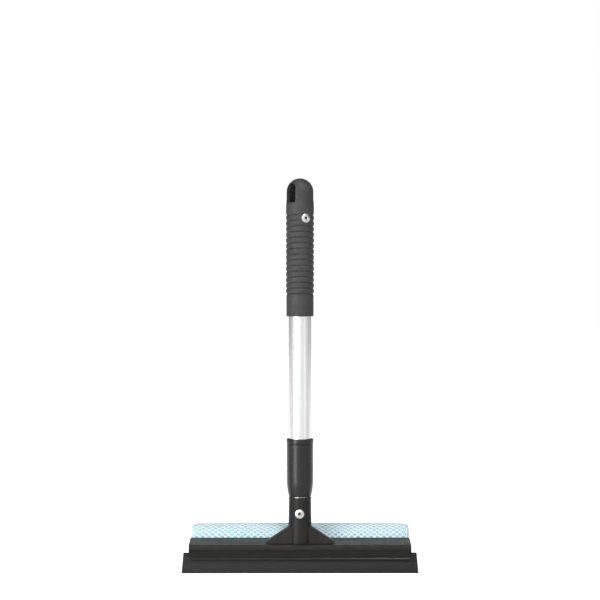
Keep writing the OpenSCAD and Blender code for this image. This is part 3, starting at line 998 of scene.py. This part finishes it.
class SQUEEGEE_OT_net(bpy.types.Operator):
    """Knot the net, lay it round the foam and sew its ends"""

    bl_idname = "squeegee.net"
    bl_label = "Net"

    def execute(self, context):
        sizes, colours = context.scene.squeegee_sizes, context.scene.squeegee_colours
        pad = bpy.data.objects["sponge_pad"]
        wrap = Wrap()
        tree = BVHTree.FromPolygons(
            [vertex.co for vertex in pad.data.vertices], [tuple(face.vertices) for face in pad.data.polygons]
        )
        yarn = net_yarn(colours.net)
        lift = sizes.yarn * 0.18
        width = 2 * NET_HIGH.x

        reach = NET_HIGH.x + 0.9 * MM
        counts = mesh_counts(sizes, wrap)
        net = diamond_sheet("sponge_net", (width, wrap.length), counts, (0, 0, 0), (0, 0, 0))
        for vertex in net.data.vertices:
            spot, out = wrap.place(vertex.co.y + wrap.length / 2)
            spot.x = vertex.co.x * reach / NET_HIGH.x
            vertex.co = land_on(tree, spot, out, 4 * MM) + out * lift
            vertex.co.y = max(vertex.co.y, NET_LOW.y + sizes.yarn / 2)
        to_yarn(net, sizes.yarn)
        finish_piece(net, "head", yarn, "net", "net_cover")

        trims = []
        for side, word in ((-1, "left"), (1, "right")):
            out = Vector((side, 0, 0))
            beside = side * (NET_HIGH.x + 4 * MM)
            rim = [land_on(tree, Vector((beside, y, z)), out) for y, z in block_outline(4.2 * MM)]
            trims.append(loop_cord(f"net_hem_{word}", rim, sizes.yarn * 1.3))
            trims.append(self.stitches(f"net_stitches_{word}", rim, sizes))
            end = self.end_patch(f"net_end_{word}", side, tree, sizes)
            finish_piece(end, "head", yarn, "net", "net_cover")
        for trim in trims:
            finish_piece(trim, "head", yarn, "net", "net_cover")
        return {"FINISHED"}

    def stitches(self, name, rim, sizes):
        """Overcast stitches: one yarn wound round the hem."""
        turns = 62
        per_turn = 10
        centre = sum(rim, Vector()) / len(rim)
        points = []
        for i in range(turns * per_turn):
            share = i / (turns * per_turn) * len(rim)
            a, b = rim[int(share) % len(rim)], rim[(int(share) + 1) % len(rim)]
            middle = a.lerp(b, share % 1)
            outward = (middle - centre).normalized()
            along = (b - a).normalized()
            sideways = along.cross(outward).normalized()
            angle = math.tau * i / per_turn
            around = outward * math.cos(angle) + sideways * math.sin(angle)
            points.append(middle + around * sizes.yarn * 0.85)
        return loop_cord(name, points, sizes.yarn * 0.6)

    def end_patch(self, name, side, tree, sizes):
        """Diamonds stretched over one end of the foam, drawn in to the hem."""
        middle_y, middle_z = (NET_LOW.y + NET_HIGH.y) / 2, (NET_LOW.z + NET_HIGH.z) / 2
        middle = Vector((side * (NET_HIGH.x - 2 * MM), middle_y, middle_z))
        outline = block_outline(1.6 * MM)
        turn = (math.pi / 2, 0, math.pi / 2)
        piece = diamond_sheet(name, (0.0385, 0.040), (7, 8), middle, turn)
        out = Vector((side, 0, 0))
        keep = 2.2 * MM
        strays = set()
        for vertex in piece.data.vertices:
            y, z = min(outline, key=lambda p: (p[0] - vertex.co.y) ** 2 + (p[1] - vertex.co.z) ** 2)
            inward = Vector((0, middle.y - y, middle.z - z))
            away = Vector((0, vertex.co.y - y, vertex.co.z - z))
            if away.dot(inward) < 0 or away.length < 0.9 * MM:
                if away.length > keep:
                    strays.add(vertex.index)
                vertex.co.y, vertex.co.z = y, z
        select_vertices(piece, lambda vertex: vertex.index in strays)
        bpy.ops.mesh.delete(type="VERT")
        bpy.ops.mesh.select_all(action="SELECT")
        bpy.ops.mesh.remove_doubles(threshold=0.4 * MM)
        bpy.ops.object.mode_set(mode="OBJECT")
        for vertex in piece.data.vertices:
            start = Vector((side * (NET_HIGH.x + 3 * MM), vertex.co.y, vertex.co.z))
            vertex.co = land_on(tree, start, out) + out * sizes.yarn * 0.2
        to_yarn(piece, sizes.yarn)
        return piece


class SQUEEGEE_OT_stage(bpy.types.Operator):
    """Set the pale floor, the soft studio light, the surroundings and the camera"""

    bl_idname = "squeegee.stage"
    bl_label = "Stage"

    def execute(self, context):
        self.floor()
        self.surroundings(context.scene)
        self.softbox("key", -43, 12, 1.5, (0.6, 1.3), 15)
        self.softbox("side", 52, 8, 1.5, (0.7, 1.3), 0.85)
        self.softbox("front", -4, 26, 1.6, (1.3, 0.8), 5)
        self.softbox("glint", 20, 58, 1.3, (0.26, 0.12), 5.5)
        self.softbox("top", -10, 80, 1.3, (1.2, 1.2), 2.5)
        self.softbox("rear", 180, 24, 1.5, (1.6, 0.5), 4)
        self.camera(context.scene)
        return {"FINISHED"}

    def floor(self):
        """Pale floor below the pole's full travel. It glows further out and behind, to stay pale."""
        travel = frame["joints"][0]["range_m"][1]
        radius, gap = 9, 0.015
        place = (0, 0, EDGE_Z - travel - gap)
        deselect()
        bpy.ops.mesh.primitive_circle_add(vertices=64, radius=radius, fill_type="NGON", location=place)
        floor = bpy.context.object
        floor.name = "floor"
        material, shader = plain_finish("pale floor", (0.86, 0.86, 0.86), 0.9, specular=0.1)
        on_floor = add_node(material, "TexCoord", {})["Object"]
        level_part = {0: on_floor, 1: (1, 1, 0)}
        flat = add_node(material, "VectorMath", level_part, operation="MULTIPLY")["Vector"]
        distance = add_node(material, "VectorMath", {0: flat}, operation="LENGTH")["Value"]
        behind = spread(material, axes(material)["Y"], 0.12, 0.95, 0.1, 0.5)
        far_out = spread(material, distance, 0.0, 0.95, 0.9, 2.6)
        brightest = calculate(material, "MAXIMUM", behind, far_out)
        clear_of_pole = spread(material, distance, 0.0, 1.0, 0.25, 0.58)
        glow = calculate(material, "MULTIPLY", clear_of_pole, brightest)
        shader.inputs["Emission Color"].default_value = (1, 1, 1, 1)
        material.node_tree.links.new(glow, shader.inputs["Emission Strength"])
        floor.data.materials.append(material)

    def surroundings(self, scene):
        """White to look at. As light, it is brighter in front than behind."""
        world = bpy.data.worlds.new("studio")
        world.use_nodes = True
        scene.world = world
        nodes, links = world.node_tree.nodes, world.node_tree.links
        light = nodes["Background"]
        light.inputs["Color"].default_value = (1, 1, 1, 1)
        white = {"Color": (1, 1, 1, 1), "Strength": 1.0}
        seen = add_node(world, "Background", white)["Background"]
        direction = axes(world, "Generated")
        front_to_back = spread(world, direction["Y"], 0.50, 0.05, -0.9, 0.5)
        left_to_right = spread(world, direction["X"], 1.0, 0.95, -0.9, 0.9)
        strength = calculate(world, "MULTIPLY", front_to_back, left_to_right)
        links.new(strength, light.inputs["Strength"])
        looking = add_node(world, "LightPath", {})["Is Camera Ray"]
        choice = {"Fac": looking, 1: light.outputs["Background"], 2: seen}
        mix = add_node(world, "MixShader", choice)["Shader"]
        links.new(mix, nodes["World Output"].inputs["Surface"])
        scene.view_settings.view_transform = "Standard"
        scene.view_settings.look = "None"

    def softbox(self, name, turn, rise, distance, size, power):
        """A soft light at a turn from the front and a rise above the object's middle."""
        turn, rise = math.radians(turn), math.radians(rise)
        aim = Vector((0, 0, up(170)))
        place = facing(turn) * math.cos(rise) * distance + Vector((0, 0, math.sin(rise) * distance))
        light = bpy.data.lights.new(name, "AREA")
        light.shape = "RECTANGLE"
        light.size, light.size_y = size
        light.energy = power
        lamp = bpy.data.objects.new(name, light)
        bpy.context.scene.collection.objects.link(lamp)
        lamp.location = aim + place
        lamp.rotation_euler = place.to_track_quat("Z", "Y").to_euler()

    def camera(self, scene):
        """Level camera, square to the head's front."""
        distance = 1.3
        height = up(231.1)
        turn = math.radians(-0.2)
        seen_width = 0.5136
        sensor = 36.0
        data = bpy.data.cameras.new("camera")
        data.sensor_width = sensor
        data.lens = sensor * distance / seen_width
        camera = bpy.data.objects.new("camera", data)
        scene.collection.objects.link(camera)
        camera.location = facing(turn) * distance + Vector((0, 0, height))
        camera.rotation_euler = (math.pi / 2, 0, turn)
        scene.camera = camera


class SQUEEGEE_PT_panel(bpy.types.Panel):
    """Lists the squeegee's operators, sizes and colours."""

    bl_idname = "SQUEEGEE_PT_panel"
    bl_label = "Squeegee"
    bl_space_type = "VIEW_3D"
    bl_region_type = "UI"
    bl_category = "Squeegee"

    def draw(self, context):
        layout = self.layout
        for operator in OPERATORS:
            layout.operator(operator.bl_idname)
        for group in (context.scene.squeegee_sizes, context.scene.squeegee_colours):
            box = layout.box()
            for name in group.__annotations__:
                box.prop(group, name)


OPERATORS = (
    SQUEEGEE_OT_stage,
    SQUEEGEE_OT_grip,
    SQUEEGEE_OT_rivets,
    SQUEEGEE_OT_tubes,
    SQUEEGEE_OT_collar,
    SQUEEGEE_OT_lock,
    SQUEEGEE_OT_head,
    SQUEEGEE_OT_blade,
    SQUEEGEE_OT_sponge,
    SQUEEGEE_OT_net,
)
CLASSES = (SqueegeeSizes, SqueegeeColours, *OPERATORS, SQUEEGEE_PT_panel)


def register():
    for cls in CLASSES:
        bpy.utils.register_class(cls)
    bpy.types.Scene.squeegee_sizes = bpy.props.PointerProperty(type=SqueegeeSizes)
    bpy.types.Scene.squeegee_colours = bpy.props.PointerProperty(type=SqueegeeColours)


def unregister():
    del bpy.types.Scene.squeegee_colours
    del bpy.types.Scene.squeegee_sizes
    for cls in reversed(CLASSES):
        bpy.utils.unregister_class(cls)


def main():
    register()
    for operator in OPERATORS:
        group, name = operator.bl_idname.split(".")
        getattr(getattr(bpy.ops, group), name)()


if __name__ == "__main__":
    main()
